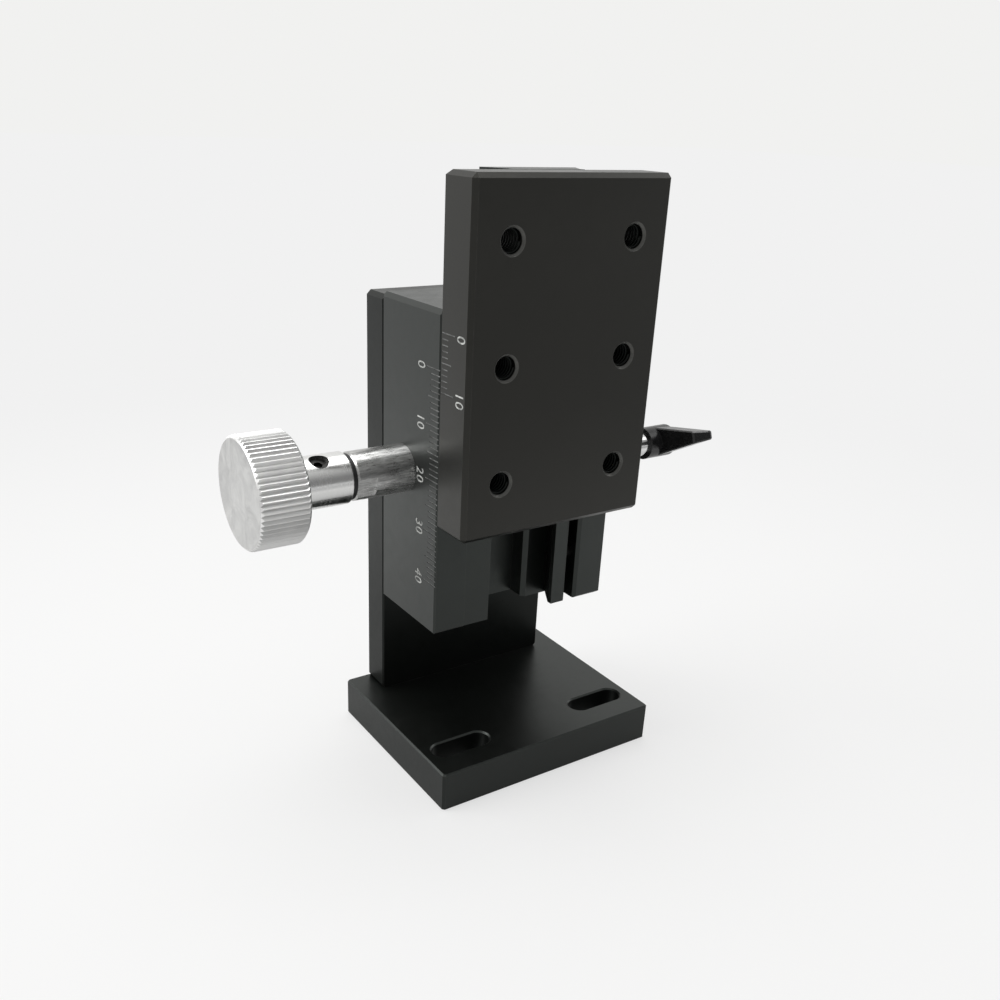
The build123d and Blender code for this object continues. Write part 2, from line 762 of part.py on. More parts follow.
arm_lean = radians(lever_arm_lean)
arm_angle = radians(lever_arm_angle)
arm_out = Vector(0, -cos(arm_angle), sin(arm_angle))
arm_along = Vector(1, 0, 0) * sin(arm_lean) + arm_out * cos(arm_lean)
arm_face = Vector(1, 0, 0) * cos(arm_lean) - arm_out * sin(arm_lean)
arm_root = Vector(stud_end + lever_arm_set, clamp_y, clamp_z)
arm_plan = Plane(origin=arm_root, x_dir=arm_along, z_dir=arm_face)
arm_side = Plane(origin=arm_root, x_dir=arm_along, z_dir=-arm_plan.y_dir)
hub_half = lever_hub_size / 2
root_half = lever_root_width / 2
arm_half = lever_arm_thickness / 2
with BuildPart() as lever_arm:
    with BuildSketch(arm_plan):
        with BuildLine():
            Polyline(
                (0, root_half),
                (lever_arm_length, lever_tip_width / 2),
                (lever_arm_length, -lever_tip_width / 2),
                (0, -root_half),
                close=True,
            )
        make_face()
    extrude(amount=lever_hub_size, both=True)
    with BuildSketch(arm_side):
        with BuildLine():
            Polyline(
                (0, -arm_half),
                (0, arm_half),
                (lever_arm_length, arm_half),
                (lever_arm_length, arm_half - lever_tip_thickness),
                (lever_arm_length - lever_bevel_length, -arm_half),
                close=True,
            )
        make_face()
    extrude(amount=lever_hub_size, both=True, mode=Mode.INTERSECT)
    chamfer(edges(), lever_arm_edge)

with BuildPart() as clamp_lever:
    with BuildSketch(clamp_axis_at.offset(stud_end)):
        Circle(hub_half)
    extrude(amount=lever_hub_length)
    fillet(edges().filter_by(GeomType.CIRCLE).sort_by(Axis.X)[-1], lever_hub_edge)
    add(lever_arm.part)
    with BuildSketch(clamp_axis_at.offset(stud_end)):
        Circle(stud_pin_size / 2 + press_fit)
    extrude(amount=stud_pin_length + press_fit, mode=Mode.SUBTRACT)
    with BuildSketch(clamp_axis_at.offset(stud_end)):
        Circle(lever_screw_size / 2 + hole_clearance)
    extrude(amount=lever_hub_length, mode=Mode.SUBTRACT)
    with BuildSketch(clamp_axis_at.offset(lever_end - lever_screw_head_height)):
        Circle(lever_screw_head / 2 + counterbore_clearance)
    extrude(amount=lever_screw_head_height, mode=Mode.SUBTRACT)
finish(clamp_lever.part, "clamp_lever")

lever_screw_at = Plane(origin=(lever_end, clamp_y, clamp_z), x_dir=(0, 1, 0), z_dir=(-1, 0, 0))
lever_screw_length = lever_hub_length - lever_screw_head_height - lever_screw_size
finish(
    socket_screw(
        lever_screw_at,
        lever_screw_size,
        lever_screw_head,
        lever_screw_head_height,
        lever_screw_length,
    ),
    "lever_screw",
)

# ---------------------------------------------------------------- fasteners
base_screws = []
for x in (-base_screw_spacing / 2, base_screw_spacing / 2):
    place = Plane(origin=(x, screw_y, head_recess), x_dir=(1, 0, 0), z_dir=(0, 0, 1))
    length = base_thickness - base_screw_head_height - head_recess + base_screw_grip
    base_screws.append(
        socket_screw(place, base_screw_size, base_screw_head, base_screw_head_height, length)
    )
finish(Compound(children=base_screws), "base_screws")

with BuildPart() as base_dowels:
    with BuildSketch(Plane.XY.offset(base_thickness - dowel_grip)):
        with Locations((-dowel_spacing / 2, screw_y), (dowel_spacing / 2, screw_y)):
            Circle(dowel_size / 2 - press_fit)
    extrude(amount=dowel_length)
finish(base_dowels.part, "base_dowels")

riser_screws = []
for x, z in spots(riser_screw_across, riser_screw_rise):
    place = Plane(
        origin=(x, base_back - head_recess, body_middle + z), x_dir=(1, 0, 0), z_dir=(0, -1, 0)
    )
    length = riser_thickness - riser_screw_head_height - head_recess + riser_screw_grip
    riser_screws.append(
        socket_screw(place, riser_screw_size, riser_screw_head, riser_screw_head_height, length)
    )
finish(Compound(children=riser_screws), "riser_screws")

lock_screw_at = Plane(
    origin=(
        body_left + lock_screw_inset,
        pinion_y + sleeve_size / 2 + lock_screw_length,
        pinion_z,
    ),
    x_dir=(1, 0, 0),
    z_dir=(0, -1, 0),
)
finish(grub_screw(lock_screw_at, lock_screw_size, lock_screw_length), "sleeve_lock_screw")

gib_screws = []
for z in (-gib_screw_rise / 2, gib_screw_rise / 2):
    place = Plane(
        origin=(gib_right + gib_screw_length, clamp_y, clamp_z + z),
        x_dir=(0, 1, 0),
        z_dir=(-1, 0, 0),
    )
    gib_screws.append(grub_screw(place, gib_screw_size, gib_screw_length))
finish(Compound(children=gib_screws), "gib_screws")

slider_screws = []
for x, z in spots(slider_screw_across, slider_screw_rise):
    place = Plane(
        origin=(x, slider_back - head_recess, table_middle + z),
        x_dir=(1, 0, 0),
        z_dir=(0, -1, 0),
    )
    seat_depth = slider_screw_head_height + head_recess
    length = slider_back - table_back - seat_depth + slider_screw_grip
    slider_screws.append(
        socket_screw(place, slider_screw_size, slider_screw_head, slider_screw_head_height, length)
    )
finish(Compound(children=slider_screws), "slider_screws")

rack_screws = []
for z in (lower_rack_screw_z, upper_rack_screw_z):
    place = Plane(origin=(0, rack_head_top_y, z), x_dir=(1, 0, 0), z_dir=(0, -1, 0))
    length = rack_root_y - rack_screw_sink - slider_back + rack_screw_grip
    rack_screws.append(
        socket_screw(place, rack_screw_size, rack_screw_head, rack_screw_head_height, length)
    )
finish(Compound(children=rack_screws), "rack_screws")
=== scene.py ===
import math

import bpy
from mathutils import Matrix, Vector


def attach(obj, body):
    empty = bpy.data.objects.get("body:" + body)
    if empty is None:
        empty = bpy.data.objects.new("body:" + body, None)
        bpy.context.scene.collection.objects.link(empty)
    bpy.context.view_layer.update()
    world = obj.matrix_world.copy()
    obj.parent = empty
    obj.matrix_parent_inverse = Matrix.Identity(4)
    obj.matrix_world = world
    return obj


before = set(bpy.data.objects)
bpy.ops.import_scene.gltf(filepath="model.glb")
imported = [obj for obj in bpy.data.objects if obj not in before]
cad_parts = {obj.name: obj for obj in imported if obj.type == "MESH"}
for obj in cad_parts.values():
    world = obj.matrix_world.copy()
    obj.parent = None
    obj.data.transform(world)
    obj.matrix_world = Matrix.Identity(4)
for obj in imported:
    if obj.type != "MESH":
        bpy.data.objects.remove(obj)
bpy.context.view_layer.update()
scene = bpy.context.scene

# ---------------------------------------------------------------- sizes, in metres
MM = 0.001
body_left_x = -20.0 * MM
body_front_y = -7.0 * MM
table_back_y = -7.4 * MM
table_front_y = -15.7 * MM
pinion_centre = (0.0, 5.0 * MM, 59.5 * MM)
knob_end_x = -51.8 * MM
hub_end_x = -42.7 * MM

# The table's six tapped holes
hole_side_x = 12.5 * MM
hole_heights = (61.5 * MM, 81.5 * MM, 101.5 * MM)
hole_radius = 2.0 * MM
mouth_radius = 2.4 * MM
thread_radius = 1.99 * MM
thread_depth = 0.30 * MM
thread_pitch = 0.7 * MM
thread_length = 6.2 * MM
thread_start = 0.9 * MM

# The scales: each mark is a thin bar in its groove, longer at each fifth and tenth
division = 1.0 * MM
main_divisions = 40
index_divisions = 10
main_zero_z = 80.0 * MM
index_zero_z = 86.5 * MM
main_mark_lengths = (2.9 * MM, 3.8 * MM, 4.4 * MM)
index_mark_lengths = (2.0 * MM, 3.1 * MM, 4.0 * MM)
mark_thickness = 0.06 * MM
mark_width = 0.16 * MM
mark_rounding = 0.02 * MM
mark_sunk = 0.085 * MM
number_height = 2.4 * MM
number_relief = 0.02 * MM
main_number_y = -0.9 * MM
index_number_y = -13.2 * MM
capital_share = 0.70
narrowing = 0.80

# ---------------------------------------------------------------- tool marks and the sleeve's painted reflection streaks: lines per metre in X, Y, Z
grain_upright = (900.0, 900.0, 60.0)
grain_flat = (60.0, 900.0, 900.0)
sleeve_reflection_streaks = (420, 3600, 3600)
stud_lines = (900, 4000, 4000)
ground_lines = (5000, 400, 400)
rack_lines = (400, 400, 5000)
bored_lines = (4000, 500, 500)
screw_lines = (3000, 3000, 3000)


# ---------------------------------------------------------------- node making
class NodeBoard:
    """A node tree, emptied, with short ways to add nodes and join them."""

    def __init__(self, tree):
        self.tree = tree
        self.tree.nodes.clear()

    def add(self, kind, **settings):
        node = self.tree.nodes.new(kind)
        for key, value in settings.items():
            setattr(node, key, value)
        return node

    def join(self, source, out, target, into):
        self.tree.links.new(source.outputs[out], target.inputs[into])

    def maths(self, operation, *terms):
        """One step of arithmetic, whose terms are numbers or (node, output) pairs."""
        node = self.add("ShaderNodeMath", operation=operation)
        for socket, term in enumerate(terms):
            if isinstance(term, tuple):
                self.join(*term, node, socket)
            else:
                node.inputs[socket].default_value = term
        return node

    def spread(self, source, out, low, high, from_low=0.3, from_high=0.7):
        """A value stretched to run from low to high."""
        node = self.add("ShaderNodeMapRange")
        node.inputs["From Min"].default_value = from_low
        node.inputs["From Max"].default_value = from_high
        node.inputs["To Min"].default_value = low
        node.inputs["To Max"].default_value = high
        self.join(source, out, node, "Value")
        return node

    def ramp(self, source, out, *steps):
        """Colours along a value, each step (place, colour), in rising order."""
        node = self.add("ShaderNodeValToRGB")
        elements = node.color_ramp.elements
        ends = (steps[0], steps[-1])
        for element, (place, colour) in zip(elements, ends):
            element.position = place
            element.color = (*colour, 1)
        for place, colour in steps[1:-1]:
            elements.new(place).color = (*colour, 1)
        self.join(source, out, node, "Fac")
        return node


def grey(level):
    return (level, level, level)


class Recipe(NodeBoard):
    """A material built round one Principled shader."""

    def __init__(self, name):
        self.material = bpy.data.materials.new(name)
        self.material.use_nodes = True
        super().__init__(self.material.node_tree)
        self.output = self.add("ShaderNodeOutputMaterial")
        self.shader = self.add("ShaderNodeBsdfPrincipled")
        self.join(self.shader, "BSDF", self.output, "Surface")
        self.place = self.add("ShaderNodeTexCoord")

    def set(self, **values):
        for key, value in values.items():
            self.shader.inputs[key.replace("_", " ")].default_value = value

    def mapped(self, scale, location=(0, 0, 0)):
        """Object coordinates, moved and stretched."""
        node = self.add("ShaderNodeMapping")
        node.inputs["Location"].default_value = location
        node.inputs["Scale"].default_value = scale
        self.join(self.place, "Object", node, "Vector")
        return node

    def about(self, centre):
        """Object coordinates counted from a centre."""
        return self.mapped((1, 1, 1), tuple(-c for c in centre))

    def noise(self, scale, detail=3.0, roughness=0.55, distortion=0.0, along=None):
        """Noise on Object coordinates, or along another (node, output)."""
        node = self.add("ShaderNodeTexNoise")
        node.inputs["Scale"].default_value = scale
        node.inputs["Detail"].default_value = detail
        node.inputs["Roughness"].default_value = roughness
        node.inputs["Distortion"].default_value = distortion
        self.join(*(along or (self.place, "Object")), node, "Vector")
        return node

    def blend(self, factor, out, dark, light):
        """A colour between two others, by a factor."""
        node = self.add("ShaderNodeMix", data_type="RGBA")
        self.join(factor, out, node, "Factor")
        for socket, value in ((6, dark), (7, light)):
            if isinstance(value, tuple):
                node.inputs[socket].default_value = (*value, 1.0)
            else:
                self.join(value, 2, node, socket)
        return node

    def paint(self, colour):
        self.join(colour, 2, self.shader, "Base Color")

    def roughen(self, *layers):
        """Roughness as the sum of its layers."""
        total, *others = layers
        out = "Result"
        for layer in others:
            total = self.maths("ADD", (total, out), (layer, "Result"))
            out = "Value"
        self.join(total, out, self.shader, "Roughness")

    def edges(self, radius, low, high):
        """1 along the edges that stand out or in, 0 on the flat faces."""
        soft = self.add("ShaderNodeBevel", samples=6)
        soft.inputs["Radius"].default_value = radius
        real = self.add("ShaderNodeNewGeometry")
        dot = self.add("ShaderNodeVectorMath", operation="DOT_PRODUCT")
        self.join(soft, "Normal", dot, 0)
        self.join(real, "Normal", dot, 1)
        return self.spread(dot, "Value", 1.0, 0.0, low, high)

    def turned_about(self, centre, strength):
        """Stretch highlights across the lathe's rings about an axis along X."""
        outward = self.add("ShaderNodeVectorMath", operation="MULTIPLY")
        outward.inputs[1].default_value = (0, 1, 1)
        self.join(self.about(centre), "Vector", outward, 0)
        unit = self.add("ShaderNodeVectorMath", operation="NORMALIZE")
        self.join(outward, "Vector", unit, 0)
        across = self.add("ShaderNodeVectorMath", operation="ADD")
        across.inputs[1].default_value = (1, 0, 0)
        self.join(unit, "Vector", across, 0)
        turned = self.add("ShaderNodeVectorTransform", vector_type="VECTOR")
        turned.convert_from = "OBJECT"
        turned.convert_to = "WORLD"
        self.join(across, "Vector", turned, "Vector")
        self.join(turned, "Vector", self.shader, "Tangent")
        self.set(Anisotropic=strength)

    def hole_mouths(self):
        """1 on the countersunk mouths of the table's holes, 0 elsewhere."""
        soft_edge = 0.05 * MM
        half_step = (hole_heights[1] - hole_heights[0]) / 2
        parts = self.add("ShaderNodeSeparateXYZ")
        self.join(self.place, "Object", parts, "Vector")
        aside = self.maths("ABSOLUTE", (parts, "X"))
        across = self.maths("SUBTRACT", (aside, "Value"), hole_side_x)
        up = self.maths("SUBTRACT", (parts, "Z"), hole_heights[0])
        along = self.maths("WRAP", (up, "Value"), half_step, -half_step)
        offset = self.add("ShaderNodeCombineXYZ")
        self.join(across, "Value", offset, "X")
        self.join(along, "Value", offset, "Y")
        reach = self.add("ShaderNodeVectorMath", operation="LENGTH")
        self.join(offset, "Vector", reach, 0)
        bore_end = hole_radius + 0.01 * MM
        past_bore = self.spread(reach, "Value", 0.0, 1.0, bore_end, bore_end + soft_edge)
        rim_start = mouth_radius - 0.02 * MM
        inside_rim = self.spread(reach, "Value", 1.0, 0.0, rim_start, rim_start + 0.06 * MM)
        return self.maths("MULTIPLY", (past_bore, "Result"), (inside_rim, "Result"))

    def bump(self, *layers):
        """Height layers, each (node, strength, depth in metres)."""
        last = None
        for source, strength, depth in layers:
            node = self.add("ShaderNodeBump")
            node.inputs["Strength"].default_value = strength
            node.inputs["Distance"].default_value = depth
            self.join(source, "Fac", node, "Height")
            if last:
                self.join(last, "Normal", node, "Normal")
            last = node
        self.join(last, "Normal", self.shader, "Normal")


# ---------------------------------------------------------------- finishes
def black_anodised(name, grain, gloss_index=1.50, gloss_tint=(0.92, 1.0, 0.95), bare_glinting_mouths=False):
    """Satin black anodised aluminium: fine blasted grain, faint cutter lines, paler worn edges."""
    deep, faded = (0.0020, 0.0024, 0.0021), (0.0042, 0.0047, 0.0042)
    # The paler grey for the hole mouths is bare cut metal with a painted glint.
    rubbed, bare_metal_and_glint_grey = (0.045, 0.046, 0.044), (0.078, 0.079, 0.076)
    recipe = Recipe(name)
    fine = recipe.noise(4200.0, detail=2.0)
    lines = recipe.noise(1.0, roughness=0.6, along=(recipe.mapped(grain), "Vector"))
    cloud = recipe.noise(70.0, detail=4.0, roughness=0.6, distortion=0.4)
    smear = recipe.noise(240.0, detail=5.0, roughness=0.65, distortion=1.2)
    patchy = recipe.spread(smear, "Fac", 0.15, 0.9, 0.38, 0.62)
    broken = recipe.maths("MULTIPLY", (recipe.edges(0.22 * MM, 0.80, 0.985), "Result"), (patchy, "Result"))
    surface = recipe.blend(broken, "Value", recipe.blend(cloud, "Fac", deep, faded), rubbed)
    # The countersunk hole mouths are painted a paler grey: bare cut metal with a painted glint in it.
    if bare_glinting_mouths:
        uneven = recipe.spread(smear, "Fac", 0.6, 1.0)
        bare_glint_mask = recipe.maths("MULTIPLY", (recipe.hole_mouths(), "Value"), (uneven, "Result"))
        surface = recipe.blend(bare_glint_mask, "Value", surface, bare_metal_and_glint_grey)
    recipe.paint(surface)
    recipe.roughen(recipe.spread(smear, "Fac", 0.30, 0.38), recipe.spread(fine, "Fac", -0.03, 0.03))
    recipe.bump((lines, 0.10, 0.004 * MM), (fine, 0.14, 0.006 * MM))
    recipe.set(IOR=gloss_index, Specular_Tint=(*gloss_tint, 1.0))
    return recipe.material


def turned_silver(name, centre, end_x, hub_x):
    """Clear anodised aluminium off the lathe, finely frosted: a knurled rim, an end in a darker, patchy
    tone and a finer hub.
    """
    step = 0.1 * MM
    rim_dull, rim_bright = (0.82, 0.82, 0.815), (0.95, 0.95, 0.94)
    end_dull, end_bright = (0.52, 0.52, 0.515), (0.67, 0.67, 0.66)
    recipe = Recipe(name)
    parts = recipe.add("ShaderNodeSeparateXYZ")
    recipe.join(recipe.about(centre), "Vector", parts, "Vector")
    flat = recipe.add("ShaderNodeCombineXYZ")
    recipe.join(parts, "Y", flat, "Y")
    recipe.join(parts, "Z", flat, "Z")
    radius = recipe.add("ShaderNodeVectorMath", operation="LENGTH")
    recipe.join(flat, "Vector", radius, 0)
    run = recipe.add("ShaderNodeCombineXYZ")
    recipe.join(radius, "Value", run, "Y")
    recipe.join(parts, "X", run, "X")
    rings = recipe.noise(5200.0, roughness=0.7, along=(run, "Vector"))
    frost = recipe.noise(3000.0, roughness=0.6)
    cloud = recipe.noise(320.0, detail=5.0, roughness=0.6, distortion=0.6)
    stains = recipe.noise(210.0, detail=6.0, roughness=0.6, distortion=1.4)
    patches = recipe.spread(stains, "Fac", 0.0, 1.0, 0.35, 0.65)
    side = recipe.blend(cloud, "Fac", rim_dull, rim_bright)
    # The end face is given a darker tone than the knurled rim.
    end = recipe.blend(patches, "Result", end_dull, end_bright)
    on_end = recipe.spread(parts, "X", 1.0, 0.0, end_x, end_x + step)
    tone = recipe.blend(on_end, "Result", side, end)
    wear = recipe.edges(0.18 * MM, 0.82, 0.98)
    recipe.paint(recipe.blend(wear, "Result", tone, (0.92, 0.92, 0.91)))
    recipe.roughen(
        recipe.spread(cloud, "Fac", 0.40, 0.52),
        recipe.spread(rings, "Fac", -0.05, 0.05),
        recipe.spread(parts, "X", 0.0, -0.24, hub_x, hub_x + step),
    )
    recipe.bump((rings, 0.22, 0.006 * MM), (frost, 0.10, 0.005 * MM))
    rim_stretch = 0.55
    recipe.turned_about(centre, rim_stretch)
    off_end = recipe.spread(on_end, "Result", rim_stretch, 0.0, 0.0, 1.0)
    less_on_hub = recipe.spread(parts, "X", 0.0, -0.30, hub_x, hub_x + step)
    stretch = recipe.maths("ADD", (off_end, "Result"), (less_on_hub, "Result"))
    recipe.join(stretch, "Value", recipe.shader, "Anisotropic")
    recipe.set(Metallic=1.0)
    return recipe.material


def lathe_steel(name, light, dark, shine, tool_and_reflection_lines, centre=None):
    """Turned metal: short tool lines across the axis, small scratches, soft stains; on the sleeve the
    lines run along the axis instead, as painted reflection streaks.
    """
    recipe = Recipe(name)
    lines = recipe.noise(1.0, detail=4.0, roughness=0.7, along=(recipe.mapped(tool_and_reflection_lines), "Vector"))
    cloud = recipe.noise(260.0, detail=4.0, roughness=0.6, distortion=0.8)
    # Light and dark streaks along the lines: tool marks, and on the sleeve painted reflection streaks.
    streaks = recipe.spread(lines, "Fac", 0.0, 1.0, 0.32, 0.68)
    tone = recipe.blend(streaks, "Result", dark, light)
    wear = recipe.edges(0.12 * MM, 0.80, 0.98)
    rubbed = tuple(min(1.0, c * 1.25 + 0.03) for c in light)
    recipe.paint(recipe.blend(wear, "Result", tone, rubbed))
    recipe.roughen(
        recipe.spread(cloud, "Fac", shine, shine + 0.08),
        recipe.spread(lines, "Fac", -0.03, 0.04),
    )
    recipe.bump((lines, 0.20, 0.005 * MM))
    if centre:
        recipe.turned_about(centre, 0.9)
    recipe.set(Metallic=1.0)
    return recipe.material


def moulded_black(name, shine):
    """Glossy black moulding: slight orange peel, dust-dulled patches, paler rubbed edges."""
    recipe = Recipe(name)
    peel = recipe.noise(1100.0, detail=2.0)
    dust = recipe.noise(420.0, detail=6.0, roughness=0.7, distortion=0.9)
    tone = recipe.blend(dust, "Fac", (0.006, 0.006, 0.0065), (0.012, 0.012, 0.0125))
    wear = recipe.edges(0.2 * MM, 0.78, 0.97)
    recipe.paint(recipe.blend(wear, "Result", tone, (0.035, 0.035, 0.036)))
    recipe.roughen(recipe.spread(dust, "Fac", shine, shine + 0.12))
    recipe.bump((peel, 0.18, 0.01 * MM))
    recipe.set(IOR=1.5)
    return recipe.material


def scale_paint(name, dirty, clean):
    """Filler in the engraved marks: chalky, a little uneven, a little dirty."""
    recipe = Recipe(name)
    chalk = recipe.noise(2600.0, detail=4.0, roughness=0.7)
    dirt = recipe.noise(500.0, detail=5.0, roughness=0.6, distortion=0.5)
    cleaned = recipe.spread(dirt, "Fac", 0.0, 1.0, 0.35, 0.6)
    recipe.paint(recipe.blend(cleaned, "Result", dirty, clean))
    recipe.roughen(recipe.spread(chalk, "Fac", 0.5, 0.75))
    recipe.bump((chalk, 0.25, 0.01 * MM))
    return recipe.material


def dress(material, *names):
    """Give a material to CAD nodes through their objects' slots."""
    for name in names:
        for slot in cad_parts[name].material_slots:
            slot.link = "OBJECT"
            slot.material = material


dress(black_anodised("anodised_upright", grain_upright), "dovetail_slider")
dress(black_anodised("anodised_table", grain_upright, gloss_tint=(1.0, 0.98, 0.90), bare_glinting_mouths=True),
      "table_plate")
dress(black_anodised("anodised_body", grain_upright, gloss_index=1.56), "stage_body", "gib_strip")
dress(black_anodised("anodised_riser", grain_upright, gloss_index=1.33), "riser_plate")
dress(black_anodised("anodised_flat", grain_flat), "base_plate")
# The threads' anodise has a lower gloss index so they reflect less: painted shade down the bores.
anodised_threads_shaded = black_anodised("anodised_threads_shaded", grain_upright, gloss_index=1.30)

knob_end = knob_end_x - pinion_centre[0]
knob_back = hub_end_x - pinion_centre[0]
dress(turned_silver("turned_silver", pinion_centre, knob_end, knob_back), "drive_knob")
# The sleeve's light and dark streaks run along its axis: painted reflection streaks in its colour.
dress(lathe_steel("turned_sleeve", (0.80, 0.80, 0.79), (0.34, 0.34, 0.335), 0.24, sleeve_reflection_streaks,
                  pinion_centre), "bearing_sleeve")
dress(lathe_steel("polished_stud", (0.84, 0.84, 0.83), grey(0.66), 0.10, stud_lines), "clamp_stud")
dress(lathe_steel("ground_steel", (0.56, 0.56, 0.55), grey(0.42), 0.22, ground_lines),
      "pinion_shaft", "base_dowels")
dress(lathe_steel("rack_steel", (0.52, 0.52, 0.51), grey(0.38), 0.25, rack_lines), "rack")
dress(lathe_steel("oxide_steel", (0.040, 0.039, 0.038), grey(0.015), 0.36, screw_lines),
      "sleeve_lock_screw", "gib_screws", "riser_screws", "base_screws", "slider_screws",
      "rack_screws", "knob_set_screw", "lever_screw")
dress(lathe_steel("bush_bronze", (0.55, 0.36, 0.17), (0.38, 0.25, 0.12), 0.35, bored_lines),
      "bearing_bush")
dress(lathe_steel("pad_brass", (0.72, 0.52, 0.22), (0.55, 0.38, 0.15), 0.25, bored_lines), "clamp_pad")
dress(moulded_black("lever_moulding", 0.16), "clamp_lever")
dress(moulded_black("washer_acetal", 0.42), "drag_washer")
white_paint = scale_paint("white_paint", (0.17, 0.175, 0.17), (0.52, 0.53, 0.51))
grey_paint = scale_paint("grey_paint", (0.07, 0.072, 0.07), (0.20, 0.205, 0.20))


# ---------------------------------------------------------------- modelling helpers
def nothing_selected():
    if bpy.context.object and bpy.context.object.mode != "OBJECT":
        bpy.ops.object.mode_set(mode="OBJECT")
    bpy.ops.object.select_all(action="DESELECT")


def copy_of(pattern):
    """Another of the same piece, with its own mesh."""
    piece = pattern.copy()
    piece.data = pattern.data.copy()
    scene.collection.objects.link(piece)
    return piece


def finish_row(parts, name, material, body):
    """Join a row of parts, put their places into the mesh and hand the piece to its CAD body."""
    nothing_selected()
    for part in parts:
        part.select_set(True)
    bpy.context.view_layer.objects.active = parts[0]
    bpy.ops.object.join()
    piece = parts[0]
    bpy.ops.object.transform_apply(location=True, rotation=True, scale=True)
    piece.name = name
    piece.data.name = name
    piece.data.materials.clear()
    piece.data.materials.append(material)
    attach(piece, body)


# ---------------------------------------------------------------- scale marks
def one_mark(length):
    """A painted mark: a thin bar with bevelled edges that lies in its engraved groove."""
    nothing_selected()
    bpy.ops.mesh.primitive_cube_add(size=1.0)
    mark = bpy.context.object
    mark.scale = (mark_thickness, length, mark_width)
    bpy.ops.object.transform_apply(location=False, rotation=False, scale=True)
    bpy.ops.object.mode_set(mode="EDIT")
    bpy.ops.mesh.select_all(action="SELECT")
    bpy.ops.mesh.bevel(offset=mark_rounding, segments=1, affect="EDGES")
    bpy.ops.object.mode_set(mode="OBJECT")
    return mark


def painted_scale(name, divisions, front_y, zero_z, lengths, towards, body):
    """All the marks of one scale, which start at an edge and run towards +Y or -Y."""
    marks = []
    patterns = [one_mark(length) for length in lengths]
    for index in range(divisions + 1):
        kind = 2 if index % 10 == 0 else 1 if index % 5 == 0 else 0
        mark = copy_of(patterns[kind])
        middle_y = front_y + towards * lengths[kind] / 2
        mark.location = (body_left_x + mark_sunk, middle_y, zero_z - index * division)
        marks.append(mark)
    for pattern in patterns:
        bpy.data.objects.remove(pattern)
    finish_row(marks, name, grey_paint, body)


painted_scale("main_scale_marks", main_divisions, body_front_y, main_zero_z, main_mark_lengths, 1, "frame")
painted_scale("index_scale_marks", index_divisions, table_back_y, index_zero_z, index_mark_lengths, -1,
              "carriage")


# ---------------------------------------------------------------- scale numbers
def one_digit(character, y, z):
    """A figure on a left face, its top towards the front, read from above downwards."""
    nothing_selected()
    bpy.ops.object.text_add()
    figure = bpy.context.object
    figure.data.body = character
    figure.data.align_x = "CENTER"
    figure.data.align_y = "CENTER"
    figure.data.size = number_height / capital_share
    figure.data.extrude = number_relief
    figure.data.resolution_u = 6
    figure.scale = (narrowing, 1.0, 1.0)
    bpy.ops.object.convert(target="MESH")
    figure = bpy.context.object
    # The figure's right goes down the face, its top goes to the front, its face looks left
    figure.rotation_euler = (math.radians(180), math.radians(90), 0.0)
    figure.location = (body_left_x, y, z)
    return figure


def number_row(name, y, body, *digits):
    """A row of figures, each (character, height of its middle in millimetres)."""
    finish_row([one_digit(character, y, z * MM) for character, z in digits], name, white_paint, body)


number_row("main_scale_numbers", main_number_y, "frame",
           ("0", 79.9), ("1", 70.55), ("0", 69.1), ("2", 60.75), ("0", 59.2),
           ("3", 50.75), ("0", 49.2), ("4", 40.75), ("0", 39.2))
number_row("index_scale_numbers", index_number_y, "carriage", ("0", 86.3), ("1", 77.1), ("0", 75.6))


# ---------------------------------------------------------------- threads in the table's holes
def one_thread():
    """A V thread's ridge standing in from a bore's wall, wound along +Y, closed at its ends."""
    steps_per_turn = 28
    half_root, half_crest = thread_pitch * 0.48, thread_pitch * 0.07
    crest_radius = thread_radius - thread_depth
    nothing_selected()
    bpy.ops.mesh.primitive_plane_add(size=1.0)
    ridge = bpy.context.object
    # The plane's corners go round in the order 0, 1, 3, 2
    section = {
        0: (thread_radius, -half_root), 1: (crest_radius, -half_crest),
        3: (crest_radius, half_crest), 2: (thread_radius, half_root),
    }
    for corner, (out, along) in section.items():
        ridge.data.vertices[corner].co = (out, along, 0.0)
    bpy.ops.object.mode_set(mode="EDIT")
    bpy.ops.mesh.select_all(action="SELECT")
    bpy.ops.mesh.delete(type="ONLY_FACE")
    bpy.ops.object.mode_set(mode="OBJECT")
    wind = ridge.modifiers.new("wind", "SCREW")
    wind.axis = "Y"
    wind.screw_offset = thread_pitch
    wind.iterations = int(thread_length / thread_pitch)
    wind.steps = steps_per_turn
    wind.render_steps = steps_per_turn
    wind.use_merge_vertices = False
    bpy.ops.object.modifier_apply(modifier=wind.name)
    bpy.ops.object.mode_set(mode="EDIT")
    bpy.ops.mesh.select_all(action="SELECT")
    bpy.ops.mesh.fill_holes(sides=4)
    bpy.ops.mesh.normals_make_consistent(inside=False)
    bpy.ops.object.mode_set(mode="OBJECT")
    return ridge


ridge_pattern = one_thread()
threads = []
for hole_z in hole_heights:
    for hole_x in (-hole_side_x, hole_side_x):
        thread = copy_of(ridge_pattern)
        thread.location = (hole_x, table_front_y + thread_start, hole_z)
        threads.append(thread)
bpy.data.objects.remove(ridge_pattern)
finish_row(threads, "table_hole_threads", anodised_threads_shaded, "carriage")


